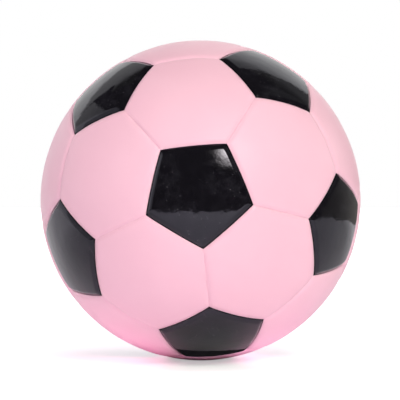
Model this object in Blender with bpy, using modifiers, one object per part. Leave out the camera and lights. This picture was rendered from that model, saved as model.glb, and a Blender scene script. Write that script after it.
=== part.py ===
"""Small soccer ball: cover panels glued edge to edge over a wound carcass, with a bladder and a needle valve.

Twelve black pentagons and twenty pink hexagons lie on a truncated icosahedron. Under them, from the outside
in, are a rubber carcass, a yarn winding and an air bladder, all turned about the valve's axis. The valve is a
rubber seat bonded to the bladder and a plug that is pushed into it from outside.

Units are metres and degrees. +Z is up, the origin is the centre of the ball, and the front pentagon faces -Y.
"""

import math

import bmesh
import bpy
from mathutils import Matrix, Vector

# The ball and its cover
BALL_DIAMETER = 0.150
PANEL_THICKNESS = 0.0018
SEAM_GAP = 0.0004  # between the side walls of neighbouring panels
EDGE_ROLL_WIDTH = 0.0030  # a panel rolls down over this distance from its seam
EDGE_ROLL_DEPTH = 0.0008  # drop from the crown to the panel's edge

# How the ball lies: where its front pentagon looks, and how far that panel is spun about its own middle
FRONT_BEARING = -1.0
FRONT_ELEVATION = 5.9
FRONT_SPIN = 59.5
CONTACT_PATCH_DIAMETER = 0.012  # flat that the ball's weight presses into the panel it lies on

# The layers under the cover
GLUE_LINE = 0.0003  # between one layer and the next
CARCASS_WALL = 0.0008
WINDING_WALL = 0.0005
BLADDER_WALL = 0.0007

# The valve, turned about the middle of one hexagon
VALVE_BEARING = 205.0  # the hexagon nearest to this direction has the valve
VALVE_ELEVATION = 22.0
VALVE_CLEARANCE = 0.0003  # round the plug, round the neck and under the plug's head
PLUG_HEAD_DIAMETER = 0.0070
PLUG_HEAD_RECESS = 0.0004  # depth of the head's face under the crown
PLUG_STEM_DIAMETER = 0.0042
PLUG_LENGTH = 0.0170
PLUG_TAIL_LENGTH = 0.0040
PLUG_TAIL_DIAMETER = 0.0024
NEEDLE_HOLE_DIAMETER = 0.0018
NEEDLE_HOLE_DEPTH = 0.0110
NEEDLE_MOUTH_DIAMETER = 0.0032
NEEDLE_MOUTH_DEPTH = 0.0010
SEAT_WALL = 0.0020  # rubber round the plug's stem
SEAT_FLANGE_DIAMETER = 0.0240
SEAT_FLANGE_THICKNESS = 0.0012
SEAT_POCKET_LENGTH = 0.0090  # sleeve that hangs under the flange, inside the bladder

# Facets
EDGE_CUTS = 3  # extra points on each side of a panel
CROWN_RINGS = 3
ROLL_STATIONS = (0.4, 0.0)  # places across the rolled edge, as shares of its width from the seam
INNER_RING = 0.5  # the one ring on a panel's underside, as a share of its outline
ROUND_STEPS = 24
LAYER_ARC_POINTS = 13
FLANGE_ARC_POINTS = 4
SHARP_ANGLE = 35.0  # edges that turn by more than this are drawn sharp
CORNER_CUT = 100 / 3  # per cent of an icosahedron's edge; the pentagons' and hexagons' sides then match

BALL_RADIUS = BALL_DIAMETER / 2
PANEL_INNER_RADIUS = BALL_RADIUS - PANEL_THICKNESS

# Finishes: name, colour and roughness
PINK_COVER = ("pink_cover", (0.93, 0.53, 0.63, 1.0), 0.38)
BLACK_COVER = ("black_cover", (0.006, 0.006, 0.007, 1.0), 0.10)
CARCASS_RUBBER = ("carcass_rubber", (0.06, 0.06, 0.065, 1.0), 0.70)
WINDING_YARN = ("winding_yarn", (0.72, 0.68, 0.58, 1.0), 0.90)
BLADDER_RUBBER = ("bladder_rubber", (0.012, 0.012, 0.013, 1.0), 0.50)
VALVE_RUBBER = ("valve_rubber", (0.78, 0.76, 0.72, 1.0), 0.60)


# Scene helpers


def clear_scene():
    """Removes whatever the scene holds."""
    for obj in list(bpy.data.objects):
        bpy.data.objects.remove(obj, do_unlink=True)


def new_collection(name):
    collection = bpy.data.collections.new(name)
    bpy.context.scene.collection.children.link(collection)
    return collection


def new_material(name, colour, roughness):
    material = bpy.data.materials.new(name)
    material.use_nodes = True
    shader = material.node_tree.nodes["Principled BSDF"]
    shader.inputs["Base Color"].default_value = colour
    shader.inputs["Roughness"].default_value = roughness
    shader.inputs["Metallic"].default_value = 0.0
    material.diffuse_color = colour
    return material


def new_object(name, mesh, collection, parent, facing, material):
    """Adds a named object that sits at the ball's centre and is turned by facing."""
    obj = bpy.data.objects.new(name, mesh)
    collection.objects.link(obj)
    obj.parent = parent
    obj.matrix_local = facing
    if not mesh.materials:
        mesh.materials.append(material)
    return obj


def cut(obj, cutter, name):
    """Subtracts cutter from obj."""
    modifier = obj.modifiers.new(name, "BOOLEAN")
    modifier.operation = "DIFFERENCE"
    modifier.solver = "EXACT"
    modifier.object = cutter


def make_cutter(obj, name, collection):
    """Files obj away as a cutter, which is never part of the ball."""
    obj.name = name
    for owner in list(obj.users_collection):
        owner.objects.unlink(obj)
    collection.objects.link(obj)
    obj.hide_render = True
    obj.display_type = "WIRE"
    return obj


def direction(bearing, elevation):
    """Unit vector at a bearing from -Y, turning towards +X, and an elevation above the horizon."""
    turn = math.radians(bearing)
    lift = math.radians(elevation)
    return Vector((math.sin(turn) * math.cos(lift), -math.cos(turn) * math.cos(lift), math.sin(lift)))


# The panels' layout


def panel_layout():
    """Flat faces of the truncated icosahedron as (middle, corners), with a pentagon at +Z.

    It is an icosahedron whose corners are cut off at a third of each edge.
    """
    layout = bmesh.new()
    bmesh.ops.create_icosphere(layout, subdivisions=1, radius=1.0)
    bmesh.ops.bevel(
        layout,
        geom=layout.verts[:],
        offset=CORNER_CUT,
        offset_type="PERCENT",
        affect="VERTICES",
        segments=1,
        profile=0.5,
    )
    layout.verts.ensure_lookup_table()
    scale = BALL_RADIUS / layout.verts[0].co.length
    faces = []
    for face in layout.faces:
        corners = [vert.co * scale for vert in face.verts]
        faces.append((sum(corners, Vector()) / len(corners), corners))
    layout.free()
    return faces


def facing_of(middle, corner):
    """Rotation that puts local +Z through a panel's middle and local +Y towards one of its corners."""
    z_axis = middle.normalized()
    y_axis = (corner - middle).normalized()
    x_axis = y_axis.cross(z_axis)
    return Matrix((x_axis, y_axis, z_axis)).transposed().to_4x4()


def lie_of_ball():
    """Rotation that lays the ball down with its front pentagon where the driving angles put it."""
    spin = Matrix.Rotation(math.radians(FRONT_SPIN), 4, "Z")
    tilt = Matrix.Rotation(math.radians(90 - FRONT_ELEVATION), 4, "X")
    turn = Matrix.Rotation(math.radians(FRONT_BEARING), 4, "Z")
    return turn @ tilt @ spin


# The cover panels


def panel_rings(apothem):
    """Rings of a panel as (share of the flat outline, distance from the ball's centre).

    They run from the crown over the rolled edge and the side wall to the underside. The edge drops as the
    square of the distance from where the roll starts.
    """
    roll_start = 1 - EDGE_ROLL_WIDTH / apothem
    crown = [(roll_start * ring / CROWN_RINGS, BALL_RADIUS) for ring in range(1, CROWN_RINGS + 1)]
    roll = [
        (1 - EDGE_ROLL_WIDTH * station / apothem, BALL_RADIUS - EDGE_ROLL_DEPTH * (1 - station) ** 2)
        for station in ROLL_STATIONS
    ]
    underside = [(1.0, PANEL_INNER_RADIUS), (INNER_RING, PANEL_INNER_RADIUS)]
    return crown + roll + underside


def on_sphere(x, y, plane, radius):
    """The point of a plane at that height, carried along its ray from the ball's centre to a radius."""
    return Vector((x, y, plane)).normalized() * radius


def next_ring(solid, ring):
    """Extrudes a ring of edges and returns the new ring's points and edges, still lying on the old ones."""
    made = bmesh.ops.extrude_edge_only(solid, edges=ring)["geom"]
    points = [part for part in made if isinstance(part, bmesh.types.BMVert)]
    edges = [part for part in made if isinstance(part, bmesh.types.BMEdge)]
    return points, edges


def close_ring(solid, ring, radius):
    """Closes a ring of edges with a fan to the panel's middle."""
    points, _ = next_ring(solid, ring)
    bmesh.ops.pointmerge(solid, verts=points, merge_co=(0, 0, radius))


def panel_mesh(name, middle, corners):
    """A curved panel with +Z through its middle: rings of its outline, extruded one from the next."""
    sides = len(corners)
    plane = middle.length
    flat_apothem = (corners[0] - middle).length * math.cos(math.pi / sides)
    apothem = flat_apothem - SEAM_GAP / 2
    rings = panel_rings(apothem)

    solid = bmesh.new()
    bmesh.ops.create_circle(solid, segments=sides, radius=apothem / math.cos(math.pi / sides))
    bmesh.ops.subdivide_edges(solid, edges=solid.edges[:], cuts=EDGE_CUTS)
    share, radius = rings[0]
    for vert in solid.verts:
        vert.co = on_sphere(vert.co.x * share, vert.co.y * share, plane, radius)
    ring = solid.edges[:]
    close_ring(solid, ring, BALL_RADIUS)
    for next_share, next_radius in rings[1:]:
        points, ring = next_ring(solid, ring)
        for vert in points:
            spread = plane / vert.co.z * next_share / share
            vert.co = on_sphere(vert.co.x * spread, vert.co.y * spread, plane, next_radius)
        share = next_share
    close_ring(solid, ring, PANEL_INNER_RADIUS)
    bmesh.ops.recalc_face_normals(solid, faces=solid.faces[:])
    return finished_mesh(name, solid)


def finished_mesh(name, solid):
    """Turns a bmesh into a mesh that is smooth except at its sharp edges."""
    mesh = bpy.data.meshes.new(name)
    solid.to_mesh(mesh)
    solid.free()
    mesh.shade_smooth()
    mesh.set_sharp_from_angle(angle=math.radians(SHARP_ANGLE))
    return mesh


def add_panels(layout, collection, cutters, parent):
    """Adds every panel and returns the facing of the valve's hexagon.

    Panels of one shape share a mesh, apart from the hexagon that the ball lies on, whose crown is pressed flat,
    and the hexagon with the valve's hole.
    """
    pink = new_material(*PINK_COVER)
    black = new_material(*BLACK_COVER)
    lie = lie_of_ball()
    from_the_top = sorted(layout, key=lambda face: -(lie @ face[0]).z)
    pentagons = [face for face in from_the_top if len(face[1]) == 5]
    hexagons = [face for face in from_the_top if len(face[1]) == 6]
    valve_way = lie.inverted() @ direction(VALVE_BEARING, VALVE_ELEVATION)
    base_face = hexagons.pop()
    valve_face = max(hexagons, key=lambda face: face[0].dot(valve_way))
    hexagons.remove(valve_face)

    for stem, faces, material in (("pentagon_panel", pentagons, black), ("hexagon_panel", hexagons, pink)):
        mesh = panel_mesh(stem, *faces[0])
        for number, (middle, corners) in enumerate(faces, 1):
            facing = facing_of(middle, corners[0])
            new_object(f"{stem}_{number:02d}", mesh, collection, parent, facing, material)

    base_facing = facing_of(base_face[0], base_face[1][0])
    base_mesh = panel_mesh("hexagon_panel_base", *base_face)
    base_panel = new_object("hexagon_panel_base", base_mesh, collection, parent, base_facing, pink)
    cut(base_panel, floor_cutter(cutters), "contact_patch")

    valve_facing = facing_of(valve_face[0], valve_face[1][0])
    valve_mesh = panel_mesh("hexagon_panel_valve", *valve_face)
    valve_panel = new_object("hexagon_panel_valve", valve_mesh, collection, parent, valve_facing, pink)
    cut(valve_panel, valve_hole_cutter(cutters, parent, valve_facing), "valve_hole")
    return valve_facing


def floor_cutter(cutters):
    """A block whose top face is the surface that the ball lies on."""
    contact_height = math.sqrt(BALL_RADIUS**2 - (CONTACT_PATCH_DIAMETER / 2) ** 2)
    bpy.ops.mesh.primitive_cube_add(size=BALL_DIAMETER, location=(0, 0, -contact_height - BALL_RADIUS))
    return make_cutter(bpy.context.object, "floor_cutter", cutters)


def valve_hole_cutter(cutters, parent, facing):
    """A round bar that opens the valve's hexagon for the plug's head."""
    bpy.ops.mesh.primitive_cylinder_add(
        vertices=ROUND_STEPS,
        radius=PLUG_HEAD_DIAMETER / 2 + VALVE_CLEARANCE,
        depth=PLUG_LENGTH,
    )
    cutter = make_cutter(bpy.context.object, "valve_hole_cutter", cutters)
    cutter.parent = parent
    cutter.matrix_local = facing @ Matrix.Translation((0, 0, PANEL_INNER_RADIUS))
    return cutter


# The turned layers and the valve


def add_turned(name, profile, closed, collection, parent, facing, material):
    """Turns a profile of (distance from the axis, height) points about the valve's axis."""
    outline = bmesh.new()
    points = [outline.verts.new((x, 0, z)) for x, z in profile]
    ends = points[1:] + points[:1] if closed else points[1:]
    for start, end in zip(points, ends):
        outline.edges.new((start, end))
    mesh = bpy.data.meshes.new(name)
    outline.to_mesh(mesh)
    outline.free()
    obj = new_object(name, mesh, collection, parent, facing, material)
    screw = obj.modifiers.new("turned", "SCREW")
    screw.angle = 2 * math.pi
    screw.steps = ROUND_STEPS
    screw.render_steps = ROUND_STEPS
    screw.use_merge_vertices = True
    screw.merge_threshold = 0.00001
    screw.use_smooth_shade = True
    return obj


def arc(radius, start, end, count):
    """Points of an arc about the ball's centre, by angles from the valve's axis."""
    angles = [start + (end - start) * step / (count - 1) for step in range(count)]
    return [(radius * math.sin(angle), radius * math.cos(angle)) for angle in angles]


def layer_profile(outer_radius, wall, hole_radius):
    """Half a section of a hollow ball that is open at the valve."""
    inner_radius = outer_radius - wall
    outer = arc(outer_radius, math.asin(hole_radius / outer_radius), math.pi, LAYER_ARC_POINTS)
    inner = arc(inner_radius, math.pi, math.asin(hole_radius / inner_radius), LAYER_ARC_POINTS)
    on_axis = [(0.0, -inner_radius)]
    return on_axis + inner[1:] + outer[:-1] + [(0.0, -outer_radius)]


def flat_of_arc(radius, angle):
    """Distance from the ball's centre to the middle of a chord that spans an angle."""
    return radius * math.cos(angle / 2)


def cover_underside(layout):
    """Distance from the ball's centre to the flats of the widest panel's underside."""
    widest = max(middle.angle(corners[0]) for middle, corners in layout)
    ring_angle = math.atan(INNER_RING * math.tan(widest))
    return flat_of_arc(PANEL_INNER_RADIUS, ring_angle)


def add_layers(collection, parent, facing, underside):
    """Adds the carcass, the winding and the bladder, and returns the radius of the room inside them."""
    hole_radius = neck_radius() + VALVE_CLEARANCE
    layers = (
        ("carcass", CARCASS_WALL, new_material(*CARCASS_RUBBER)),
        ("yarn_winding", WINDING_WALL, new_material(*WINDING_YARN)),
        ("bladder", BLADDER_WALL, new_material(*BLADDER_RUBBER)),
    )
    radius = underside
    for name, wall, material in layers:
        outer_radius = radius - GLUE_LINE
        profile = layer_profile(outer_radius, wall, hole_radius)
        add_turned(name, profile, False, collection, parent, facing, material)
        radius = outer_radius - wall
    return radius


def neck_radius():
    """Outside of the seat's neck: the plug's stem, its clearance and the rubber round it."""
    return PLUG_STEM_DIAMETER / 2 + VALVE_CLEARANCE + SEAT_WALL


def add_valve_seat(collection, parent, facing, neck_top, room_radius, material):
    """Adds the seat: a neck up to the cover, a flange under the bladder's wall and a pocket inside."""
    bore = PLUG_STEM_DIAMETER / 2 + VALVE_CLEARANCE
    neck = neck_radius()
    rim = SEAT_FLANGE_DIAMETER / 2
    top_radius = flat_of_arc(room_radius, math.pi / (LAYER_ARC_POINTS - 1)) - GLUE_LINE
    under_radius = top_radius - SEAT_FLANGE_THICKNESS
    bottom = math.sqrt(under_radius**2 - neck**2) - SEAT_POCKET_LENGTH
    flange_top = arc(top_radius, math.asin(neck / top_radius), math.asin(rim / top_radius), FLANGE_ARC_POINTS)
    flange_under = arc(
        under_radius, math.asin(rim / under_radius), math.asin(neck / under_radius), FLANGE_ARC_POINTS
    )
    profile = [(bore, bottom), (bore, neck_top), (neck, neck_top)]
    profile += flange_top + flange_under + [(neck, bottom)]
    add_turned("valve_seat", profile, True, collection, parent, facing, material)


def add_valve_plug(collection, parent, facing, neck_top, material):
    """Adds the plug: a head in the cover's hole, a stem, a tapered tail and a blind hole for the needle."""
    face = BALL_RADIUS - PLUG_HEAD_RECESS
    head_under = neck_top + VALVE_CLEARANCE
    tip = face - PLUG_LENGTH
    needle = NEEDLE_HOLE_DIAMETER / 2
    head = PLUG_HEAD_DIAMETER / 2
    stem = PLUG_STEM_DIAMETER / 2
    tail = PLUG_TAIL_DIAMETER / 2
    profile = [
        (0.0, face - NEEDLE_HOLE_DEPTH),
        (needle, face - NEEDLE_HOLE_DEPTH),
        (needle, face - NEEDLE_MOUTH_DEPTH),
        (NEEDLE_MOUTH_DIAMETER / 2, face),
        (head, face),
        (head, head_under),
        (stem, head_under),
        (stem, tip + PLUG_TAIL_LENGTH),
        (tail, tip),
        (0.0, tip),
    ]
    add_turned("valve_plug", profile, False, collection, parent, facing, material)


def main():
    clear_scene()
    ball = new_collection("mini_soccer_ball")
    cutters = new_collection("cutters")
    centre = bpy.data.objects.new("ball_centre", None)
    ball.objects.link(centre)
    centre.matrix_world = lie_of_ball()
    bpy.context.view_layer.update()

    layout = panel_layout()
    valve_facing = add_panels(layout, ball, cutters, centre)
    underside = cover_underside(layout)
    room_radius = add_layers(ball, centre, valve_facing, underside)
    valve_rubber = new_material(*VALVE_RUBBER)
    neck_top = underside - GLUE_LINE
    add_valve_seat(ball, centre, valve_facing, neck_top, room_radius, valve_rubber)
    add_valve_plug(ball, centre, valve_facing, neck_top, valve_rubber)


main()
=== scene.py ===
"""Dresses the small soccer ball: bevelled cover panels, the valve and the layers inside, in a white studio.

A cover panel is one closed surface of two parameters: how far out from its middle, and how far round its
outline. The valve's plug is a profile turned about the valve's axis. Both are worked out as whole arrays.

Units are metres and degrees. +Z is up, the origin is the centre of the ball, and the front pentagon faces -Y.
"""

from __future__ import annotations

import logging
import math
from dataclasses import dataclass, field
from enum import Enum

import bpy
import numpy as np
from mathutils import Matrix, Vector


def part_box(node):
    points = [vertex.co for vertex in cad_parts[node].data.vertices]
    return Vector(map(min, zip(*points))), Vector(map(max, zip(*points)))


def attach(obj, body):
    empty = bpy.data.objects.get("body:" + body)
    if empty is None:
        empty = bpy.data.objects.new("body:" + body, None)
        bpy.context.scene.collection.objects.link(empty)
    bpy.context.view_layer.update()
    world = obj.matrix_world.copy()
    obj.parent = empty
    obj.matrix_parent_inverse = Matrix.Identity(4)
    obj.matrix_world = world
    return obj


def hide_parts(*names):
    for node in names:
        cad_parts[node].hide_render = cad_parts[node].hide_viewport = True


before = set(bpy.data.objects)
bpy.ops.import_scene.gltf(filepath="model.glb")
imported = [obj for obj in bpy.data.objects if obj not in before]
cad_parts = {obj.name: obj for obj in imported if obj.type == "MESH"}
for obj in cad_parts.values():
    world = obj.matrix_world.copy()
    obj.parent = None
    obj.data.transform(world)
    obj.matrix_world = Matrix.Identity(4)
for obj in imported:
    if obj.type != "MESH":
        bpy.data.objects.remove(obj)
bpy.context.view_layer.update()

Array = np.ndarray
Colour = tuple[float, float, float, float]
Point = tuple[float, float, float]
Tint = tuple[float, float, float]
Range = tuple[float, float]
Socket = bpy.types.NodeSocket

LOG = logging.getLogger("soccer_ball")
BODY = "root"
BALL_RADIUS = 0.075
FLOOR_HEIGHT = -0.0747596
GOLDEN_ANGLE = math.pi * (3 - math.sqrt(5))
WHITE: Colour = (1.0, 1.0, 1.0, 1.0)
BLACK: Colour = (0.0, 0.0, 0.0, 1.0)


class Slot(Enum):
    """The record's material slots."""

    PINK = "pink_cover"
    BLACK = "black_cover"
    CARCASS = "carcass_rubber"
    YARN = "winding_yarn"
    BLADDER = "bladder_rubber"
    VALVE = "valve_rubber"


class PanelShape(Enum):
    """The two outlines of the cover, by their number of sides."""

    PENTAGON = 5
    HEXAGON = 6


def way(bearing: float, elevation: float) -> Array:
    """Unit vector at a bearing from the ball's front and an elevation above the horizon.

    Args:
        bearing: degrees from -Y, turning towards +X.
        elevation: degrees above the horizon.

    Returns:
        The vector (sin b cos e, -cos b cos e, sin e).
    """
    turn = math.radians(bearing)
    lift = math.radians(elevation)
    return np.array([math.sin(turn) * math.cos(lift), -math.cos(turn) * math.cos(lift), math.sin(lift)])


def unit(vectors: Array) -> Array:
    """The same vectors, each divided by its length."""
    return vectors / np.linalg.norm(vectors, axis=-1, keepdims=True)


def softplus(value: Array, softness: float) -> Array:
    """A ramp with a rounded foot: softness * log(1 + exp(value / softness))."""
    return softness * np.logaddexp(0.0, value / softness)


# Surfaces


@dataclass
class ClosedGrid:
    """A closed surface, as a grid of points whose columns run round it.

    Seen from outside, columns run anticlockwise about the end of the first row. The first and last rows are
    poles, or join each other where the surface has a hole through it.
    """

    points: Array
    pierced: bool = False
    marks: dict[str, Array] = field(default_factory=dict)

    def flat(self, values: Array) -> Array:
        """Values of the grid as one row for each vertex, with one vertex at each pole.

        Args:
            values: an array of (rows, columns) or (rows, columns, 3).

        Returns:
            The values in the order of the mesh's vertices.
        """
        body = values if self.pierced else values[1:-1]
        body = body.reshape(-1, *values.shape[2:])
        if self.pierced:
            return body
        return np.concatenate([values[:1, 0], body, values[-1:, 0]])

    def faces(self) -> list[list[int]]:
        """Corner numbers of every face.

        A face has the corners (i, j), (i + 1, j), (i + 1, j + 1) and (i, j + 1). At a pole it is a triangle.

        Returns:
            The corner numbers, face by face.
        """
        rows, columns = self.points.shape[:2]
        if self.pierced:
            numbers = np.arange(rows * columns).reshape(rows, columns)
            numbers = np.vstack([numbers, numbers[:1]])
        else:
            numbers = 1 + np.arange((rows - 2) * columns).reshape(rows - 2, columns)
        beside = np.roll(numbers, -1, axis=1)
        quads = np.stack([numbers[:-1], numbers[1:], beside[1:], beside[:-1]], axis=-1).reshape(-1, 4)
        if self.pierced:
            return quads.tolist()
        first = np.zeros(columns, int)
        last = np.full(columns, numbers[-1, -1] + 1)
        top = np.stack([first, numbers[0], beside[0]], axis=-1)
        bottom = np.stack([numbers[-1], last, beside[-1]], axis=-1)
        return quads.tolist() + top.tolist() + bottom.tolist()

    def mesh(self, name: str) -> bpy.types.Mesh:
        """The grid as a smooth mesh that carries its marks as point attributes.

        Args:
            name: the mesh's name.

        Returns:
            The new mesh.
        """
        mesh = bpy.data.meshes.new(name)
        mesh.from_pydata(self.flat(self.points).tolist(), [], self.faces())
        mesh.shade_smooth()
        for mark, values in self.marks.items():
            attribute = mesh.attributes.new(mark, "FLOAT", "POINT")
            attribute.data.foreach_set("value", self.flat(values).astype(np.float32))
        return mesh


def new_object(name: str, data: bpy.types.ID) -> bpy.types.Object:
    """Adds an object to the scene, at the origin.

    Args:
        name: its name.
        data: its mesh, light or camera.

    Returns:
        The new object.
    """
    obj = bpy.data.objects.new(name, data)
    bpy.context.scene.collection.objects.link(obj)
    return obj


def add_piece(
    mesh: bpy.types.Mesh, material: bpy.types.Material, node: str
) -> bpy.types.Object:
    """Adds a piece of the ball that stands for a CAD node and moves with it.

    Args:
        mesh: the piece's mesh, already in place.
        material: its finish.
        node: the CAD node that it stands for.

    Returns:
        The new object, at the origin.
    """
    obj = new_object(f"{node}.dressed", mesh)
    mesh.materials.append(material)
    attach(obj, BODY)
    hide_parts(node)
    LOG.info("%s: %d faces", obj.name, len(mesh.polygons))
    return obj


# Finishes


@dataclass(frozen=True)
class Spot:
    """A round place with a value of its own.

    The value holds as far as core from the middle, and has faded into the value around it at reach.
    """

    middle: Point
    core: float
    reach: float
    value: float


@dataclass(frozen=True)
class Noise:
    """Cloudy noise.

    Its blobs lie size apart, in metres. Detail is how many finer layers it has, and strength is how strong
    they are. Ends are the values that count as none and as all.
    """

    size: float
    detail: float = 2.0
    strength: float = 0.5
    ends: Range = (0.3, 0.7)


class NodeBench:
    """The node tree of one material, with a Principled shader at its end.

    DOT_CORE is the share of a dot's radius that is solid.
    """

    DOT_CORE = 0.2

    def __init__(self, name: str) -> None:
        """Starts a material with its shader and object coordinates.

        Args:
            name: the material's name.
        """
        self.material = bpy.data.materials.new(name)
        self.material.use_nodes = True
        self.tree = self.material.node_tree
        self.shader = self.tree.nodes["Principled BSDF"]
        self.coordinates = self.tree.nodes.new("ShaderNodeTexCoord").outputs["Object"]

    def set(self, **values: float | Colour) -> None:
        """Sets shader sockets to plain values, by their names in lower case with underscores."""
        for name, value in values.items():
            self.shader.inputs[name.replace("_", " ").title().replace("Ior", "IOR")].default_value = value

    def join(self, output: Socket, name: str) -> None:
        """Joins an output to the shader's socket of that name."""
        self.tree.links.new(output, self.shader.inputs[name])

    def noise(self, pattern: Noise) -> Socket:
        """Cloudy noise.

        Args:
            pattern: the noise's sizes.

        Returns:
            The noise's value, about 0.2 to 0.8.
        """
        node = self.tree.nodes.new("ShaderNodeTexNoise")
        node.inputs["Scale"].default_value = 1 / pattern.size
        node.inputs["Detail"].default_value = pattern.detail
        node.inputs["Roughness"].default_value = pattern.strength
        self.tree.links.new(self.coordinates, node.inputs["Vector"])
        return node.outputs["Fac"]

    def clouds(self, pattern: Noise, target: Range = (0.0, 1.0)) -> Socket:
        """Cloudy noise carried from its own ends to the ends of the target."""
        return self.span(self.noise(pattern), pattern.ends, target)

    def dots(self, spacing: float, radius: float) -> Socket:
        """Scattered soft round dots.

        Args:
            spacing: how far apart they lie, in metres.
            radius: how far a dot reaches from its middle, in metres.

        Returns:
            1 in the middle of a dot, 0 away from it.
        """
        node = self.tree.nodes.new("ShaderNodeTexVoronoi")
        node.inputs["Scale"].default_value = 1 / spacing
        self.tree.links.new(self.coordinates, node.inputs["Vector"])
        reach = radius / spacing
        return self.span(node.outputs["Distance"], (self.DOT_CORE * reach, reach), (1.0, 0.0))

    def around(self, spot: Spot, outside: float) -> Socket:
        """A round place's value, which fades into the value outside it.

        Args:
            spot: the place, in object coordinates.
            outside: the value beyond its reach.

        Returns:
            The value.
        """
        node = self.tree.nodes.new("ShaderNodeVectorMath")
        node.operation = "DISTANCE"
        node.inputs[1].default_value = spot.middle
        self.tree.links.new(self.coordinates, node.inputs[0])
        return self.span(node.outputs["Value"], (spot.core, spot.reach), (spot.value, outside))

    def mark(self, name: str) -> Socket:
        """The value of one of the piece's own point attributes.

        Args:
            name: the attribute's name.

        Returns:
            The value.
        """
        node = self.tree.nodes.new("ShaderNodeAttribute")
        node.attribute_name = name
        return node.outputs["Fac"]

    def span(self, value: Socket, source: Range, target: Range) -> Socket:
        """A value carried smoothly from one range to another and held at its ends.

        Args:
            value: the output to carry over.
            source: the values that meet the ends of the target.
            target: the ends of the result.

        Returns:
            The carried value.
        """
        node = self.tree.nodes.new("ShaderNodeMapRange")
        node.interpolation_type = "SMOOTHSTEP"
        node.inputs["From Min"].default_value, node.inputs["From Max"].default_value = source
        node.inputs["To Min"].default_value, node.inputs["To Max"].default_value = target
        self.tree.links.new(value, node.inputs["Value"])
        return node.outputs["Result"]

    def product(self, first: Socket, second: Socket) -> Socket:
        """Two varying values multiplied.

        Args:
            first: a value.
            second: another value.

        Returns:
            Their product.
        """
        node = self.tree.nodes.new("ShaderNodeMath")
        node.operation = "MULTIPLY"
        self.tree.links.new(first, node.inputs[0])
        self.tree.links.new(second, node.inputs[1])
        return node.outputs["Value"]

    def blend(self, share: Socket, first: Colour | Socket, second: Colour) -> Socket:
        """A colour that goes from the first to the second as share goes from 0 to 1.

        Args:
            share: the varying share of the second colour.
            first: a colour or another blend.
            second: a colour.

        Returns:
            The blended colour.
        """
        node = self.tree.nodes.new("ShaderNodeMix")
        node.data_type = "RGBA"
        self.tree.links.new(share, node.inputs["Factor"])
        if isinstance(first, Socket):
            self.tree.links.new(first, node.inputs["A"])
        else:
            node.inputs["A"].default_value = first
        node.inputs["B"].default_value = second
        return node.outputs["Result"]

    def bump(self, height: Socket, depth: float, over: Socket | None = None) -> Socket:
        """A normal that follows a height pattern.

        Args:
            height: the pattern, 0 to 1.
            depth: what a height of 1 measures, in metres.
            over: the normal of a coarser pattern that this one lies on.

        Returns:
            The bumped normal.
        """
        node = self.tree.nodes.new("ShaderNodeBump")
        node.inputs["Strength"].default_value = 1.0
        node.inputs["Distance"].default_value = depth
        self.tree.links.new(height, node.inputs["Height"])
        if over is not None:
            self.tree.links.new(over, node.inputs["Normal"])
        return node.outputs["Normal"]


@dataclass(frozen=True)
class SatinCover:
    """Pink cover sheet with a satin, faintly grained skin. Its colour is painted a little paler down in its
    seams, as painted light that lifts the shade there.
    """

    slot: Slot = Slot.PINK
    colour: Colour = (0.925, 0.556, 0.658, 1.0)
    clouded: Colour = (0.915, 0.540, 0.644, 1.0)
    painted_seam_light: Colour = (0.930, 0.564, 0.666, 1.0)
    seam_light_reach: float = 0.0010
    roughness: Range = (0.34, 0.42)
    refraction: float = 1.45
    cloud: Noise = Noise(0.030, detail=3.0, ends=(0.35, 0.65))
    gloss: Noise = Noise(0.009, detail=3.0)
    grain: Noise = Noise(0.00035)
    grain_depth: float = 0.000006

    def material(self) -> bpy.types.Material:
        """The finish as a node material.

        Returns:
            The new material.
        """
        bench = NodeBench(self.slot.value)
        bench.set(metallic=0.0, ior=self.refraction)
        # Painted light: near a seam the colour turns paler, to lift the shade down in the groove.
        seam = bench.span(bench.mark(CoverPanel.SEAM_MARK), (0.0, self.seam_light_reach), (1.0, 0.0))
        colour = bench.blend(bench.clouds(self.cloud), self.colour, self.clouded)
        bench.join(bench.blend(seam, colour, self.painted_seam_light), "Base Color")
        bench.join(bench.clouds(self.gloss, self.roughness), "Roughness")
        bench.join(bench.bump(bench.noise(self.grain), self.grain_depth), "Normal")
        return bench.material


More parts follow.
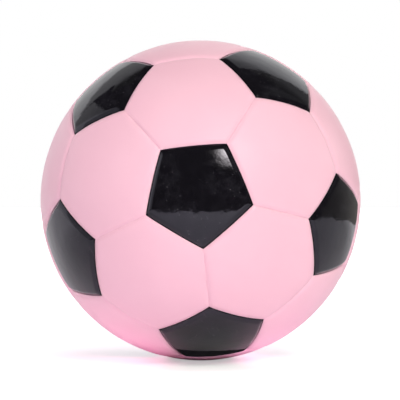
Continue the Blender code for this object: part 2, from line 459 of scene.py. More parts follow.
@dataclass(frozen=True)
class GlossCover:
    """Black cover sheet with a glossy skin: slightly rippled, with handling smudges and a little dust.

    Smudges, smears and dust gather in patches. A thin line along the sheet's cut edge is matt.
    """

    slot: Slot = Slot.BLACK
    colour: Colour = (0.0048, 0.0044, 0.0056, 1.0)
    film: Colour = (0.0125, 0.0118, 0.0145, 1.0)
    dust: Colour = (0.110, 0.106, 0.115, 1.0)
    sheen: Colour = (0.83, 0.80, 1.0, 1.0)
    roughness: Range = (0.05, 0.16)
    refraction: float = 1.595
    gloss: Noise = Noise(0.006, detail=4.0, strength=0.6, ends=(0.50, 0.75))
    patch: Noise = Noise(0.013, ends=(0.38, 0.62))
    patch_share: Range = (0.1, 0.9)
    smudge: Noise = Noise(0.0045, detail=5.0, strength=0.65, ends=(0.42, 0.64))
    ripple: Noise = Noise(0.0080, detail=1.0)
    ripple_depth: float = 0.000110
    smear: Noise = Noise(0.0014)
    smear_depth: float = 0.000038
    dust_spacing: float = 0.0020
    dust_radius: float = 0.00027
    edge_reach: Range = (0.0002, 0.0009)
    edge_mirror: Range = (0.06, 0.5)

    def material(self) -> bpy.types.Material:
        """The finish as a node material.

        Returns:
            The new material.
        """
        bench = NodeBench(self.slot.value)
        bench.set(metallic=0.0, ior=self.refraction, specular_tint=self.sheen)
        patch = bench.clouds(self.patch, self.patch_share)
        speck = bench.dots(self.dust_spacing, self.dust_radius)
        filmed = bench.blend(bench.product(patch, bench.clouds(self.smudge)), self.colour, self.film)
        bench.join(bench.blend(bench.product(patch, speck), filmed, self.dust), "Base Color")
        bench.join(bench.clouds(self.gloss, self.roughness), "Roughness")
        edge = bench.mark(CoverPanel.SEAM_MARK)
        bench.join(bench.span(edge, self.edge_reach, self.edge_mirror), "Specular IOR Level")
        ripples = bench.bump(bench.noise(self.ripple), self.ripple_depth)
        smears = bench.product(bench.noise(self.smear), patch)
        bench.join(bench.bump(smears, self.smear_depth, ripples), "Normal")
        return bench.material


@dataclass(frozen=True)
class MouldedRubber:
    """Matt rubber with a fine moulded grain and uneven tone."""

    slot: Slot
    colour: Colour
    bloom: Colour
    roughness: Range
    refraction: float = 1.52
    cloud: Noise = Noise(0.004, detail=4.0, ends=(0.35, 0.70))
    gloss: Noise = Noise(0.002)
    grain: Noise = Noise(0.0005)
    grain_depth: float = 0.00002

    def material(self) -> bpy.types.Material:
        """The finish as a node material.

        Returns:
            The new material.
        """
        bench = NodeBench(self.slot.value)
        bench.set(metallic=0.0, ior=self.refraction)
        bench.join(bench.blend(bench.clouds(self.cloud), self.colour, self.bloom), "Base Color")
        bench.join(bench.clouds(self.gloss, self.roughness), "Roughness")
        bench.join(bench.bump(bench.noise(self.grain), self.grain_depth), "Normal")
        return bench.material


@dataclass(frozen=True)
class WoundYarn:
    """Yarn wound round and round in three crossing layers, each a set of stripes with its own tilt.

    WAVE_PITCH is the pitch of the stripes that a wave texture draws at a scale of 1.
    """

    WAVE_PITCH = 2 * math.pi / 20

    slot: Slot = Slot.YARN
    colour: Colour = (0.72, 0.68, 0.58, 1.0)
    # Painted shade: the darker colour between turns of yarn stands for the shade in the grooves.
    between: Colour = (0.34, 0.30, 0.24, 1.0)
    roughness: float = 0.9
    pitch: float = 0.0016
    depth: float = 0.00025
    edge: Range = (0.2, 0.9)
    waver: float = 0.6
    waver_scale: float = 40.0
    tilts: tuple[Point, ...] = ((20.0, 35.0, 0.0), (100.0, -40.0, 30.0), (-60.0, 10.0, 75.0))

    def stripes(self, bench: NodeBench, tilt: Point) -> Socket:
        """One layer's stripes.

        Args:
            bench: the material's node bench.
            tilt: how the layer is turned, in degrees about X, Y and Z.

        Returns:
            The stripes' height, 0 between two turns of yarn and 1 on a turn.
        """
        turn = bench.tree.nodes.new("ShaderNodeMapping")
        turn.inputs["Rotation"].default_value = [math.radians(angle) for angle in tilt]
        wave = bench.tree.nodes.new("ShaderNodeTexWave")
        wave.inputs["Scale"].default_value = self.WAVE_PITCH / self.pitch
        wave.inputs["Distortion"].default_value = self.waver
        wave.inputs["Detail Scale"].default_value = self.waver_scale
        bench.tree.links.new(bench.coordinates, turn.inputs["Vector"])
        bench.tree.links.new(turn.outputs["Vector"], wave.inputs["Vector"])
        return wave.outputs["Fac"]

    def material(self) -> bpy.types.Material:
        """The finish as a node material.

        Returns:
            The new material.
        """
        bench = NodeBench(self.slot.value)
        bench.set(metallic=0.0, roughness=self.roughness)
        layers = [self.stripes(bench, tilt) for tilt in self.tilts]
        height = layers[0]
        for layer in layers[1:]:
            highest = bench.tree.nodes.new("ShaderNodeMath")
            highest.operation = "MAXIMUM"
            bench.tree.links.new(height, highest.inputs[0])
            bench.tree.links.new(layer, highest.inputs[1])
            height = highest.outputs["Value"]
        # Painted shade in the grooves between turns of yarn.
        gap = bench.span(height, self.edge, (1.0, 0.0))
        bench.join(bench.blend(gap, self.colour, self.between), "Base Color")
        bench.join(bench.bump(height, self.depth), "Normal")
        return bench.material


# The cover


@dataclass(frozen=True)
class PanelPlace:
    """Where a panel lies: unit vectors to its middle and, anticlockwise from outside, to its corners."""

    shape: PanelShape
    middle: Array
    corners: Array

    def inward(self) -> Array:
        """Unit normals of the seams' planes through the ball's centre, pointing into the panel."""
        return unit(np.cross(self.corners, np.roll(self.corners, -1, axis=0)))

    def apothem(self) -> float:
        """Angle from the middle to the nearest point of a seam."""
        return math.asin(float(self.inward()[0] @ self.middle))


@dataclass(frozen=True)
class BallLayout:
    """The truncated icosahedron that the cover is cut to, and how the ball lies on the floor.

    RING_HEIGHT is the height of the rings of corners, and the cosine of the angle between two neighbours.
    """

    RING_HEIGHT = 1 / math.sqrt(5)

    front_bearing: float = -1.0
    front_elevation: float = 5.9
    front_spin: float = 59.5

    def lie(self) -> Array:
        """Turn of the ball.

        It spins about its first pentagon, which is then tilted to the front and turned to its bearing.

        Returns:
            The matrix Rz(bearing) Rx(90 - elevation) Rz(spin).
        """
        spin = math.radians(self.front_spin)
        tilt = math.radians(90 - self.front_elevation)
        turn = math.radians(self.front_bearing)
        about_z = [
            np.array([[math.cos(a), -math.sin(a), 0.0], [math.sin(a), math.cos(a), 0.0], [0.0, 0.0, 1.0]])
            for a in (turn, spin)
        ]
        about_x = np.array(
            [[1.0, 0.0, 0.0], [0.0, math.cos(tilt), -math.sin(tilt)], [0.0, math.sin(tilt), math.cos(tilt)]]
        )
        return about_z[0] @ about_x @ about_z[1]

    def points(self) -> Array:
        """Corners of an icosahedron, as the ball lies.

        They are two poles and two rings of five, at heights of +-1/sqrt(5).

        Returns:
            Unit vectors of (12, 3).
        """
        angle = np.radians(72.0) * np.arange(5)
        reach = 2 * self.RING_HEIGHT
        level = np.full(5, self.RING_HEIGHT)
        upper = np.stack([reach * np.cos(angle), reach * np.sin(angle), level], axis=-1)
        local = np.concatenate([[[0.0, 0.0, 1.0]], upper, -upper, [[0.0, 0.0, -1.0]]])
        return local @ self.lie().T

    @staticmethod
    def in_order(shape: PanelShape, corners: Array) -> PanelPlace:
        """A panel's place, with its corners sorted by their angle about its middle.

        Args:
            shape: the panel's outline.
            corners: its corners in any order.

        Returns:
            The place.
        """
        middle = unit(corners.mean(axis=0))
        across = unit(corners[0] - middle * (corners[0] @ middle))
        beside = np.cross(middle, across)
        angle = np.arctan2(corners @ beside, corners @ across)
        return PanelPlace(shape, middle, unit(corners[np.argsort(angle)]))

    def places(self) -> list[PanelPlace]:
        """Every panel's place.

        Each edge of the icosahedron is cut at a third and at two thirds of its length. Two of its corners
        share an edge if the cosine of the angle between them is 1/sqrt(5).

        Returns:
            The twelve pentagons, then the twenty hexagons.
        """
        points = self.points()
        joined = np.isclose(points @ points.T, self.RING_HEIGHT)
        cut = (2 * points[:, None] + points[None, :]) / 3
        made = [
            self.in_order(PanelShape.PENTAGON, cut[number][joined[number]]) for number in range(len(points))
        ]
        trios = joined[:, :, None] & joined[None, :, :] & joined[:, None, :]
        for a, b, c in np.argwhere(trios):
            if a < b < c:
                pairs = ([a, b, b, c, c, a], [b, a, c, b, a, c])
                made.append(self.in_order(PanelShape.HEXAGON, cut[pairs]))
        return made


@dataclass(frozen=True)
class EdgeBevel:
    """How a panel's edge falls away into its seam: a straight bevel with a rounded start."""

    width: float
    fall: float
    softness: float
    mitre: float = 0.0004

    def distance(self, directions: Array, place: PanelPlace) -> Array:
        """Distance from the seams along the ball, rounded where two bevels meet.

        The smallest of the angles to the seams' planes, as a soft minimum: -m log(sum(exp(-d / m))).

        Args:
            directions: unit vectors, in any grid.
            place: the panel that they are on.

        Returns:
            The distances in metres.
        """
        each = BALL_RADIUS * np.arcsin(directions @ place.inward().T)
        return -self.mitre * np.logaddexp.reduce(-each / self.mitre, axis=-1)

    def depth(self, distance: Array) -> Array:
        """Drop under the crown: tan(fall) times a rounded ramp that starts at the bevel's width."""
        return math.tan(math.radians(self.fall)) * softplus(self.width - distance, self.softness)


@dataclass(frozen=True)
class Unevenness:
    """Slow ripples of a cover that is pressed and glued by hand: a mean of sines in seven directions."""

    height: float = 0.00009
    shortest: float = 0.013
    longest: float = 0.034
    count: int = 7

    def height_at(self, directions: Array) -> Array:
        """Rise of the surface: height * mean of sin(2 pi p . w / length + w's number).

        Args:
            directions: unit vectors, in any grid.

        Returns:
            The rise in metres.
        """
        number = np.arange(self.count)
        level = 1 - (2 * number + 1) / self.count
        turn = number * GOLDEN_ANGLE
        reach = np.sqrt(1 - level**2)
        waves = np.stack([reach * np.cos(turn), reach * np.sin(turn), level], axis=-1)
        lengths = np.linspace(self.shortest, self.longest, self.count)
        phase = 2 * math.pi * BALL_RADIUS * (directions @ (waves / lengths[:, None]).T) + number
        return self.height * np.sin(phase).mean(axis=-1)


@dataclass(frozen=True)
class CoverPanel:
    """One cover panel: crown, bevelled edge, side wall and underside in one closed surface.

    EDGE_ROW is how many seam gaps the crown's last row but one lies from the seam. LIP_REACH is how many lip
    widths the close rows around a hole reach.
    """

    SEAM_MARK = "seam_distance"
    EDGE_ROW = 1.5
    LIP_REACH = 3.0

    place: PanelPlace
    node: str
    bevel: EdgeBevel
    ripples: Unevenness
    thickness: float = 0.0018
    seam_gap: float = 0.00002
    hole_radius: float = 0.0
    hole_lip: EdgeBevel = EdgeBevel(width=0.0005, fall=32.0, softness=0.00015)
    side_steps: int = 26
    crown_rows: int = 38
    lip_rows: int = 9
    underside_rows: int = 5
    row_spread: float = 0.0010

    def outline(self) -> Array:
        """The panel's outline, with straight sides cut in even steps.

        It lies on the plane that touches the ball at the panel's middle.

        Returns:
            Points of (columns, 3), for a ball of radius 1.
        """
        corners = self.place.corners / (self.place.corners @ self.place.middle)[:, None]
        ahead = np.roll(corners, -1, axis=0)
        share = np.arange(self.side_steps)[:, None] / self.side_steps
        return (corners[:, None] + share * (ahead - corners)[:, None]).reshape(-1, 3)

    def crown_shares(self) -> Array:
        """Rows from the middle, or the hole, to the seam, as shares of the way.

        Rows crowd where the bevel starts: they lie width + spread * sinh(u) from the seam, with even u.

        Returns:
            Rising shares from 0 to 1.
        """
        apothem = self.place.apothem()
        first = math.asinh((BALL_RADIUS * apothem - self.bevel.width) / self.row_spread)
        last = math.asinh((self.EDGE_ROW * self.seam_gap - self.bevel.width) / self.row_spread)
        distance = self.bevel.width + self.row_spread * np.sinh(np.linspace(first, last, self.crown_rows))
        distance = np.append(distance, self.seam_gap / 2)
        plane = np.tan(apothem - distance / BALL_RADIUS)
        hole = self.hole_radius / BALL_RADIUS
        if not hole:
            return np.concatenate([[0.0], plane[1:] / math.tan(apothem)])
        lip_width = self.hole_lip.width
        lip = hole + np.geomspace(self.seam_gap, self.LIP_REACH * lip_width, self.lip_rows) / BALL_RADIUS
        plane = np.concatenate([[hole], lip, plane[plane > lip[-1] + lip_width / BALL_RADIUS]])
        return (plane - hole) / (math.tan(apothem) - hole)

    def directions(self, shares: Array) -> Array:
        """Unit vectors at shares of the way from the panel's middle, or its hole, to its outline.

        Args:
            shares: one share for each row.

        Returns:
            Vectors of (rows, columns, 3).
        """
        spokes = self.outline() - self.place.middle
        lengths = np.linalg.norm(spokes, axis=-1, keepdims=True)
        start = self.hole_radius / BALL_RADIUS
        reach = start + shares[:, None, None] * (lengths - start)
        return unit(self.place.middle + reach * spokes / lengths)

    def grid(self) -> ClosedGrid:
        """The panel's surface: direction times radius, from the middle over the edge to the underside.

        The crown's radius is the ball's, less the bevel's drop and the hole's lip, plus the ripples. The side
        wall and the underside go straight down to, and lie on, the sphere that the panels are glued to.

        Returns:
            The closed grid, with each point's distance from the seam.
        """
        shares = self.crown_shares()
        ways = self.directions(shares)
        distance = self.bevel.distance(ways, self.place)
        radius = BALL_RADIUS - self.bevel.depth(distance) + self.ripples.height_at(ways)
        if self.hole_radius:
            from_hole = BALL_RADIUS * np.arccos(ways @ self.place.middle) - self.hole_radius
            radius = radius - self.hole_lip.depth(from_hole)
        inner = BALL_RADIUS - self.thickness
        low = np.full(radius.shape[1], inner + self.seam_gap)
        wall_radius = np.stack([radius[-1] - self.seam_gap, low])
        under_shares = np.linspace(1.0, 0.0, self.underside_rows + 1)
        under_ways = self.directions(under_shares)
        points = np.concatenate(
            [ways * radius[..., None], ways[-1] * wall_radius[..., None], under_ways * inner]
        )
        points[..., 2] = np.maximum(points[..., 2], FLOOR_HEIGHT)
        depth_rows = len(points) - len(distance)
        marks = np.concatenate([distance, np.repeat(distance[-1:], depth_rows, axis=0)])
        return ClosedGrid(points, bool(self.hole_radius), {self.SEAM_MARK: np.maximum(marks, 0.0)})

    def build(self, material: bpy.types.Material, slot: Slot) -> bpy.types.Object:
        """Builds and dresses the panel.

        Args:
            material: its finish.
            slot: the record's slot that the finish fills. It is not used.

        Returns:
            The panel's object.
        """
        return add_piece(self.grid().mesh(self.node), material, self.node)


@dataclass(frozen=True)
class Cover:
    """The thirty-two panels."""

    layout: BallLayout = BallLayout()
    pink_bevel: EdgeBevel = EdgeBevel(width=0.0012, fall=36.0, softness=0.00060)
    black_bevel: EdgeBevel = EdgeBevel(width=0.0023, fall=27.0, softness=0.00025)
    ripples: Unevenness = Unevenness()
    pink: SatinCover = SatinCover()
    black: GlossCover = GlossCover()
    valve_node: str = "hexagon_panel_valve"
    valve_hole_radius: float = 0.0038

    @staticmethod
    def node_ways(stem: str) -> dict[str, Array]:
        """Which way each CAD node of a kind lies from the ball's centre.

        Args:
            stem: how the nodes' names begin.

        Returns:
            A unit vector for each node.
        """
        names = [name for name in sorted(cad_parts) if name.startswith(stem)]
        boxes = [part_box(name) for name in names]
        return {name: unit(np.array(low + high)) for name, (low, high) in zip(names, boxes)}

    def build(self) -> PanelPlace:
        """Builds every panel over the CAD node nearest to it.

        Returns:
            The place of the panel with the valve's hole.
        """
        kinds = {
            PanelShape.PENTAGON: (self.node_ways("pentagon_panel"), self.black_bevel, self.black),
            PanelShape.HEXAGON: (self.node_ways("hexagon_panel"), self.pink_bevel, self.pink),
        }
        materials = {shape: finish.material() for shape, (_, _, finish) in kinds.items()}
        covered: dict[str, PanelPlace] = {}
        for place in self.layout.places():
            ways, bevel, finish = kinds[place.shape]
            node = max(ways, key=lambda name: float(ways[name] @ place.middle))
            hole_radius = self.valve_hole_radius if node == self.valve_node else 0.0
            panel = CoverPanel(place, node, bevel, self.ripples, hole_radius=hole_radius)
            panel.build(materials[place.shape], finish.slot)
            covered[node] = place
        return covered[self.valve_node]


# The valve and the layers inside


@dataclass(frozen=True)
class ValvePlug:
    """The rubber plug in the valve's hole: a head with a dished face, stem, tail and blind needle hole.

    Face is how far out it reaches from the ball's centre. Roundings are how far the profile's corners are
    rounded along their sides, in order.
    """

    node: str = "valve_plug"
    face: float = 0.0746
    head_radius: float = 0.0035
    head_under: float = 0.07306
    stem_radius: float = 0.0021
    length: float = 0.0170
    tail_length: float = 0.0040
    tail_radius: float = 0.0012
    needle_radius: float = 0.0009
    needle_depth: float = 0.0110
    mouth_radius: float = 0.0016
    mouth_depth: float = 0.0010
    rim_width: float = 0.0006
    rim_drop: float = 0.0001
    roundings: tuple[float, ...] = (0.0002, 0.0003, 0.0002, 0.0003, 0.0004, 0.0002, 0.0002, 0.0005, 0.0004)
    corner_steps: int = 6
    turn_steps: int = 72
    finish: MouldedRubber = MouldedRubber(
        Slot.VALVE,
        colour=(0.78, 0.76, 0.72, 1.0),
        bloom=(0.70, 0.67, 0.62, 1.0),
        roughness=(0.5, 0.65),
    )

    def profile(self) -> Array:
        """Half a section as (distance from the axis, height), from the needle hole's end to the tail's tip.

        Each inner corner p is rounded as the curve (1-s)^2 a + 2 s (1-s) p + s^2 c, from a point a on the
        side before it to a point c on the side after it.

        Returns:
            Points of (rows, 2).
        """
        tip = self.face - self.length
        rim = self.face - self.rim_drop
        hole_end = self.face - self.needle_depth
        corners = np.array(
            [
                (0.0, hole_end),
                (self.needle_radius, hole_end),
                (self.needle_radius, self.face - self.mouth_depth),
                (self.mouth_radius, rim),
                (self.mouth_radius + self.rim_width, self.face),
                (self.head_radius, rim),
                (self.head_radius, self.head_under),
                (self.stem_radius, self.head_under),
                (self.stem_radius, tip + self.tail_length),
                (self.tail_radius, tip),
                (0.0, tip),
            ]
        )
        at = corners[1:-1]
        trim = np.array(self.roundings)[:, None]
        before = at + trim * unit(corners[:-2] - at)
        after = at + trim * unit(corners[2:] - at)
        s = np.linspace(0.0, 1.0, self.corner_steps)[None, :, None]
        curve = (1 - s) ** 2 * before[:, None] + 2 * s * (1 - s) * at[:, None] + s**2 * after[:, None]
        return np.concatenate([corners[:1], curve.reshape(-1, 2), corners[-1:]])

    def build(self, place: PanelPlace) -> bpy.types.Object:
        """Turns the profile about the middle of the valve's panel.

        Args:
            place: the panel with the valve's hole.

        Returns:
            The plug's object.
        """
        axis = place.middle
        across = unit(place.corners[0] - axis * (place.corners[0] @ axis))
        beside = np.cross(axis, across)
        angle = np.linspace(0.0, 2 * math.pi, self.turn_steps, endpoint=False)[:, None]
        spokes = np.cos(angle) * across + np.sin(angle) * beside
        profile = self.profile()
        points = profile[:, None, :1] * spokes + profile[:, None, 1:] * axis
        mesh = ClosedGrid(points).mesh(self.node)
        return add_piece(mesh, self.finish.material(), self.node)


@dataclass(frozen=True)
class InnerLayers:
    """The hidden layers, which keep their CAD shapes and get finishes of their own."""

    carcass: MouldedRubber = MouldedRubber(
        Slot.CARCASS,
        colour=(0.060, 0.060, 0.065, 1.0),
        bloom=(0.085, 0.083, 0.085, 1.0),
        roughness=(0.62, 0.78),
    )
    yarn: WoundYarn = WoundYarn()
    bladder: MouldedRubber = MouldedRubber(
        Slot.BLADDER,
        colour=(0.012, 0.012, 0.013, 1.0),
        bloom=(0.020, 0.020, 0.021, 1.0),
        roughness=(0.42, 0.58),
    )
    valve_seat: MouldedRubber = MouldedRubber(
        Slot.VALVE,
        colour=(0.74, 0.72, 0.68, 1.0),
        bloom=(0.66, 0.63, 0.58, 1.0),
        roughness=(0.55, 0.70),
    )

    def dress(self) -> None:
        """Gives each layer's CAD node its finish."""
        finishes = {
            "carcass": self.carcass,
            "yarn_winding": self.yarn,
            "bladder": self.bladder,
            "valve_seat": self.valve_seat,
        }
        for name, finish in finishes.items():
            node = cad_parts[name]
            node.data.materials.clear()
            node.data.materials.append(finish.material())
            LOG.info("%s: dressed", name)


# The studio


@dataclass(frozen=True)
class Card:
    """A flat board that only shows as a reflection in the gloss. Its spot has a glow of its own."""

    name: str
    corners: tuple[Point, ...]
    glow: float = 1.0
    tone: Colour = WHITE
    spot: Spot | None = None

    def finish(self) -> bpy.types.Material:
        """The board's glow as a node material.

        Returns:
            The new material.
        """
        bench = NodeBench(self.name)
        bench.set(base_color=BLACK, specular_ior_level=0.0)
        bench.set(emission_color=self.tone, emission_strength=self.glow)
        if self.spot is not None:
            bench.join(bench.around(self.spot, self.glow), "Emission Strength")
        return bench.material

    def build(self) -> bpy.types.Object:
        """Builds the board from its corners.

        Returns:
            The board's object.
        """
        mesh = bpy.data.meshes.new(self.name)
        mesh.from_pydata(list(self.corners), [], [range(len(self.corners))])
        mesh.materials.append(self.finish())
        board = new_object(self.name, mesh)
        board.visible_camera = False
        board.visible_diffuse = False
        board.visible_shadow = False
        LOG.info("%s: reflected board", self.name)
        return board


# Where the boards stand: behind the table, there on its right, on its left, and on its right
BACK = 1.3
BACK_RIGHT = 1.32
LEFT = -1.3
RIGHT = 1.4


def wall_across(depth: float, *outline: Range) -> tuple[Point, ...]:
    """Corners (x, depth, z) of a board across the room, from its outline in x and z."""
    return tuple((x, depth, z) for x, z in outline)


def wall_along(aside: float, *outline: Range) -> tuple[Point, ...]:
    """Corners (aside, y, z) of a board along a side of the room, from its outline in y and z."""
    return tuple((aside, y, z) for y, z in outline)


def soft_light(
    bearing: float, elevation: float, distance: float, reach: float, glow: float, tone: Colour
) -> Card:
    """A square board that faces the ball, with a hot spot in its middle.

    Args:
        bearing: degrees from the ball's front, turning towards +X.
        elevation: degrees above the horizon.
        distance: metres from the ball's centre.
        reach: where the hot spot has faded out, in metres.
        glow: the brightness of the hot spot's middle.
        tone: its colour.

    Returns:
        The board.
    """
    towards = way(bearing, elevation)
    aside = unit(np.cross([0.0, 0.0, 1.0], towards))
    upward = np.cross(towards, aside)
    middle = towards * distance
    signs = ((-1, -1), (1, -1), (1, 1), (-1, 1))
    corners = tuple(tuple(middle + reach * (a * aside + b * upward)) for a, b in signs)
    spot = Spot(tuple(middle), core=0.0, reach=reach, value=glow)
    return Card("soft_light", corners, glow=0.0, tone=tone, spot=spot)


def contact_shade(aside: float, reach: Range, lift: float, glow: float, steps: int = 64) -> Card:
    """A dark oval for the deepest part of the ball's own shadow, where it touches the table.

    Args:
        aside: where the oval's middle lies along X.
        reach: how far the oval reaches along X and along Y.
        lift: how far it lies above the table.
        glow: its faint brightness.
        steps: the corners of its outline.

    Returns:
        The oval, just above the table.
    """
    angle = 2 * math.pi * np.arange(steps) / steps
    level = np.full(steps, FLOOR_HEIGHT + lift)
    corners = np.stack([aside + reach[0] * np.cos(angle), reach[1] * np.sin(angle), level], axis=-1)
    return Card("contact_shade", tuple(map(tuple, corners.tolist())), glow)


@dataclass(frozen=True)
class Lamp:
    """A soft rectangular lamp that looks at the ball, or straight up from the table.

    It lights the pieces but shows in no reflection: there the boards stand for the lamps.
    """

    name: str
    bearing: float
    elevation: float
    width: float
    height: float
    power: float
    colour: Tint = (1.0, 1.0, 1.0)
    distance: float = 1.6
    upward: bool = False

    def build(self) -> bpy.types.Object:
        """Hangs the lamp at its bearing, elevation and distance.

        Returns:
            The lamp's object.
        """
        data = bpy.data.lights.new(self.name, "AREA")
        data.shape = "RECTANGLE"
        data.size = self.width
        data.size_y = self.height
        data.energy = self.power
        data.color = self.colour
        lamp = new_object(self.name, data)
        towards = Vector(way(self.bearing, self.elevation))
        lamp.location = towards * self.distance
        backward = Vector((0.0, 0.0, -1.0)) if self.upward else towards
        lamp.rotation_euler = backward.to_track_quat("Z", "Y").to_euler()
        lamp.visible_camera = False
        lamp.visible_glossy = False
        LOG.info("%s: lamp of %.4g W", self.name, self.power)
        return lamp


def foot_lamp(name: str, bearing: float, power: float, colour: Tint) -> Lamp:
    """A small lamp that lies on the table beside the ball's foot and looks up.

    Args:
        name: the lamp's name.
        bearing: degrees from the ball's front, turning towards +X.
        power: its power in watts.
        colour: its light's colour.

    Returns:
        The lamp.
    """
    return Lamp(
        name,
        bearing,
        elevation=-59.6,
        width=0.055,
        height=0.09,
        power=power,
        colour=colour,
        distance=0.0860,
        upward=True,
    )


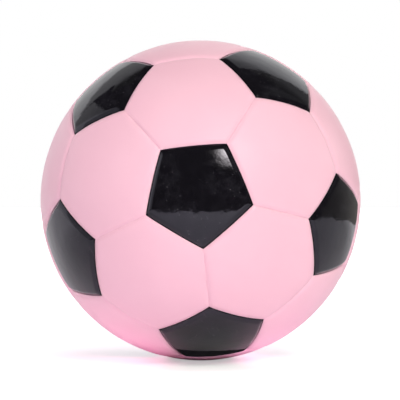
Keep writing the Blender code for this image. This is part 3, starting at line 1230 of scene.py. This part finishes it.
@dataclass(frozen=True)
class Studio:
    """A white table in a dim room, with boards around it, soft lamps and the camera.

    The boards behind the table and on its left are bright, and those on its right are dim. The gloss shows
    the table darker at each of its shades, as painted shade. At the foot shade, light that bounces off the
    table
    takes a dark crimson colour: painted shade and painted pink bounce light under the ball.
    Table lift is how far the camera sees the table raised towards white.
    """

    table_outline: tuple[Range, ...] = (
        (-1.1, -0.95), (0.53, -0.95), (0.53, 0.05), (0.32, 0.45), (0.32, 1.28), (-1.1, 1.28)
    )
    table_tone: Colour = (0.98, 0.95, 1.0, 1.0)
    table_roughness: float = 0.9
    table_shades: tuple[Spot, ...] = (
        Spot((0.34, 0.0, FLOOR_HEIGHT), core=0.17, reach=0.36, value=0.38),
        Spot((-0.25, -0.10, FLOOR_HEIGHT), core=0.10, reach=0.25, value=0.30),
    )
    foot_shade: Spot = Spot((0.0, 0.0, FLOOR_HEIGHT), core=0.016, reach=0.036, value=1.0)
    painted_foot_bounce: Colour = (0.40, 0.03, 0.10, 1.0)
    table_lift: float = 0.42
    ambient: float = 0.06
    room: Colour = (0.036, 0.032, 0.042, 1.0)
    cards: tuple[Card, ...] = (
        contact_shade(aside=-0.0030, reach=(0.0320, 0.0256), lift=0.00002, glow=0.025),
        Card(
            "back_board",
            wall_across(BACK, (-1.3, -0.07), (0.45, -0.07), (0.92, 0.82), (-1.3, 0.82)),
            glow=0.95,
        ),
        Card(
            "upper_board",
            wall_across(
                BACK, (-0.35, 0.82), (0.92, 0.82), (0.87, 1.50), (0.80, 2.0), (0.60, 2.4), (-0.35, 2.8)
            ),
            glow=0.33,
            spot=Spot((0.45, BACK, 0.8), core=0.2, reach=1.2, value=0.86),
        ),
        Card(
            "dim_board",
            wall_across(
                BACK,
                (-1.30, 0.82),
                (-0.35, 0.82),
                (-0.35, 2.8),
                (-1.50, 2.8),
                (-1.50, 1.75),
                (-1.08, 1.40),
                (-1.24, 1.08),
            ),
            glow=0.05,
            spot=Spot((-0.7, BACK, -0.5), core=1.8, reach=2.45, value=0.42),
        ),
        Card(
            "left_board",
            wall_along(LEFT, (1.30, -0.30), (-0.14, -0.30), (-0.14, 1.22), (1.30, 1.12)),
            glow=0.36,
            spot=Spot((LEFT, 0.0, 0.0), core=0.4, reach=1.3, value=1.0),
        ),
        Card(
            "near_board",
            wall_along(LEFT, (-0.14, -0.05), (-1.0, -0.05), (-1.0, 0.55), (-0.5, 0.90), (-0.14, 1.10)),
            glow=0.45,
        ),
        Card(
            "right_board",
            ((0.40, 1.45, -0.50), (1.50, 0.10, -0.50), (1.50, 0.10, 0.45), (0.40, 1.45, 0.45)),
            glow=0.12,
            tone=(1.0, 0.95, 0.88, 1.0),
            spot=Spot((0.60, 1.20, 0.0), core=0.5, reach=1.1, value=0.26),
        ),
        Card("high_board", wall_along(RIGHT, (-0.6, 0.9), (1.1, 0.9), (1.1, 2.2), (-0.6, 2.2)), glow=0.11),
        Card(
            "side_board",
            wall_across(BACK_RIGHT, (0.86, 0.3), (2.0, 0.3), (2.0, 2.2), (0.86, 2.2)),
            glow=0.05,
            spot=Spot((0.9, BACK_RIGHT, 1.1), core=0.2, reach=1.0, value=0.17),
        ),
        soft_light(24.0, 36.0, distance=1.2, reach=0.28, glow=16.0, tone=(1.0, 0.97, 0.82, 1.0)),
    )
    lamps: tuple[Lamp, ...] = (
        Lamp("key_lamp", 28.0, 33.0, width=0.6, height=0.6, power=14.1, colour=(0.93, 0.97, 0.80)),
        Lamp("left_lamp", -60.0, 27.0, width=1.0, height=0.9, power=4.5, colour=(0.98, 0.97, 0.94)),
        Lamp("right_lamp", 112.0, 20.0, width=0.9, height=0.7, power=7.4, colour=(0.95, 1.0, 1.0)),
        Lamp("top_lamp", -20.0, 77.0, width=0.9, height=0.9, power=6.9, colour=(0.99, 0.93, 1.0)),
        Lamp("back_lamp", 172.0, 16.0, width=0.9, height=0.6, power=10.8),
        Lamp("rear_lamp", -138.0, 24.0, width=0.9, height=0.9, power=6.8),
        Lamp("low_strip", 0.0, 0.0, width=1.6, height=0.1, power=7.7, colour=(0.90, 0.76, 1.0)),
        foot_lamp("left_bounce", -90.0, power=0.0063, colour=(1.0, 0.46, 0.80)),
        foot_lamp("right_bounce", 90.0, power=0.0061, colour=(0.96, 0.59, 0.96)),
    )
    camera_elevation: float = 3.0
    camera_distance: float = 1.3725
    lens: float = 263.1
    sensor: float = 36.0
    farthest_view: float = 50.0
    aim_aside: float = -0.00028
    aim_above: float = 0.00019

    def build_floor(self) -> bpy.types.Object:
        """Builds the table's top, which the camera sees as white except where the ball shades it.

        Returns:
            The table's object.
        """
        corners = [(*corner, FLOOR_HEIGHT) for corner in self.table_outline]
        mesh = bpy.data.meshes.new("table")
        mesh.from_pydata(corners, [], [range(len(corners))])
        table = new_object("table", mesh)
        bench = NodeBench("white_table")
        bench.set(roughness=self.table_roughness, specular_ior_level=0.0, emission_color=WHITE)
        rays = bench.tree.nodes.new("ShaderNodeLightPath")
        colour: Colour | Socket = self.table_tone
        # Painted shade: reflections see the table darker at each table shade.
        for shade in self.table_shades:
            share = bench.product(bench.around(shade, 0.0), rays.outputs["Is Glossy Ray"])
            colour = bench.blend(share, colour, BLACK)
        # Painted shade and painted pink bounce light: light bouncing off the table near the ball's foot takes
        # a dark crimson colour.
        share = bench.product(bench.around(self.foot_shade, 0.0), rays.outputs["Is Diffuse Ray"])
        bench.join(bench.blend(share, colour, self.painted_foot_bounce), "Base Color")
        lift = bench.span(rays.outputs["Is Camera Ray"], (0.0, 1.0), (0.0, self.table_lift))
        bench.join(lift, "Emission Strength")
        mesh.materials.append(bench.material)
        LOG.info("table: stage")
        return table

    def build_world(self) -> None:
        """Lights the room evenly, shows it white to the camera and dim to reflections."""
        world = bpy.data.worlds.new("studio_room")
        bpy.context.scene.world = world
        world.use_nodes = True
        tree = world.node_tree
        rays = tree.nodes.new("ShaderNodeLightPath")
        reflected = tree.nodes.new("ShaderNodeMix")
        reflected.data_type = "RGBA"
        reflected.inputs["A"].default_value = (self.ambient, self.ambient, self.ambient, 1.0)
        reflected.inputs["B"].default_value = self.room
        shown = tree.nodes.new("ShaderNodeMix")
        shown.data_type = "RGBA"
        shown.inputs["B"].default_value = WHITE
        background = tree.nodes["Background"]
        tree.links.new(rays.outputs["Is Glossy Ray"], reflected.inputs["Factor"])
        tree.links.new(rays.outputs["Is Camera Ray"], shown.inputs["Factor"])
        tree.links.new(reflected.outputs["Result"], shown.inputs["A"])
        tree.links.new(shown.outputs["Result"], background.inputs["Color"])
        LOG.info("world: even light")

    def build_camera(self) -> bpy.types.Object:
        """Puts the camera at the photograph's angle and makes it the scene's camera.

        Returns:
            The camera's object.
        """
        data = bpy.data.cameras.new("camera")
        data.lens = self.lens
        data.sensor_width = self.sensor
        data.clip_end = self.farthest_view
        camera = new_object("camera", data)
        back = Vector(way(0.0, self.camera_elevation))
        camera.location = back * self.camera_distance + Vector((self.aim_aside, 0.0, self.aim_above))
        camera.rotation_euler = back.to_track_quat("Z", "Y").to_euler()
        bpy.context.scene.camera = camera
        LOG.info("camera: %.0f mm", self.lens)
        return camera

    def build(self) -> None:
        """Builds the whole studio."""
        bpy.context.scene.view_settings.view_transform = "Standard"
        self.build_floor()
        for card in self.cards:
            card.build()
        for lamp in self.lamps:
            lamp.build()
        self.build_world()
        self.build_camera()


def main() -> None:
    """Builds the ball's pieces and the studio in order."""
    logging.basicConfig(level=logging.INFO, format="%(name)s: %(message)s")
    valve_place = Cover().build()
    ValvePlug().build(valve_place)
    InnerLayers().dress()
    Studio().build()


if __name__ == "__main__":
    main()
